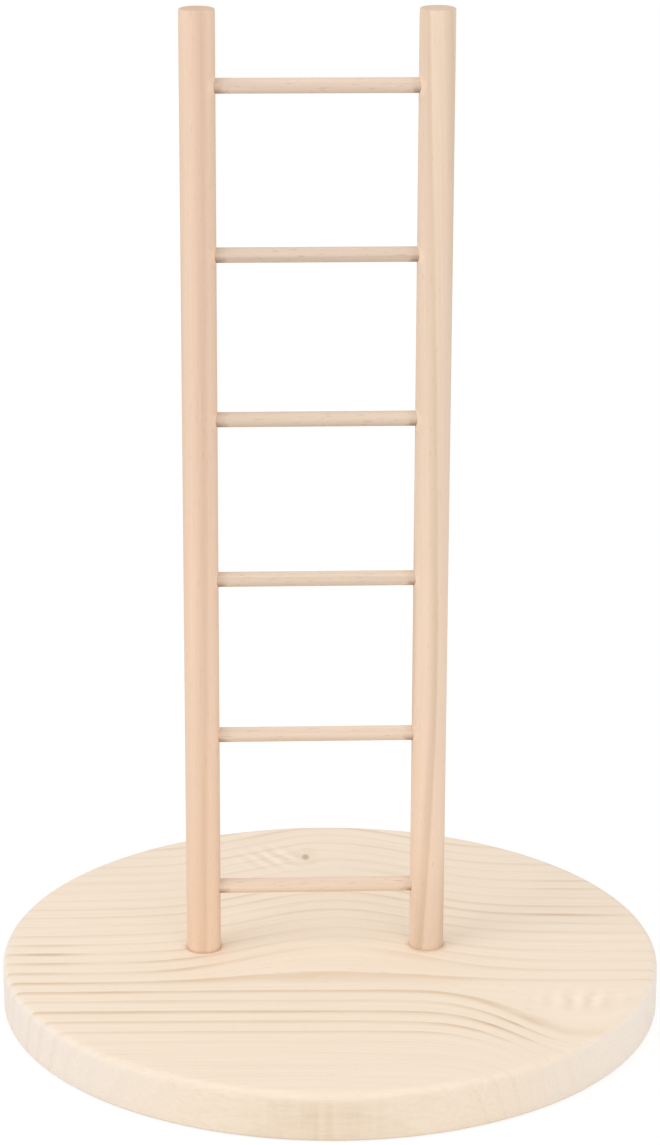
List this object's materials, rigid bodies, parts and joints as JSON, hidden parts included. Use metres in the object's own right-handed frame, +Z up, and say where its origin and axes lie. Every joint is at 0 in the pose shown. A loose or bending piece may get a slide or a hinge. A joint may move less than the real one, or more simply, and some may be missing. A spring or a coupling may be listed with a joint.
{
  "type": "bird ladder",
  "caption": "Free-standing wooden climbing ladder for small birds: two round uprights joined by thin round rungs, let into a round base board.",
  "frame": {"origin": "centre of the base board's underside, on the surface that it stands on", "axes": "+Z up along the uprights, the rungs run along X, -Y is the front that the picture shows"},
  "size_m": [0.24, 0.24, 0.3638],
  "materials": {
    "board_pine": "bare sanded pine, matte",
    "upright_pine": "bare sanded softwood dowel, matte",
    "rung_wood": "bare sanded hardwood dowel, matte"
  },
  "bodies": {
    "root": {"base": "board_pine", "rail_left": "upright_pine", "rail_right": "upright_pine", "rung_1": "rung_wood", "rung_2": "rung_wood", "rung_3": "rung_wood", "rung_4": "rung_wood", "rung_5": "rung_wood", "rung_6": "rung_wood"}
  },
  "joints": []
}
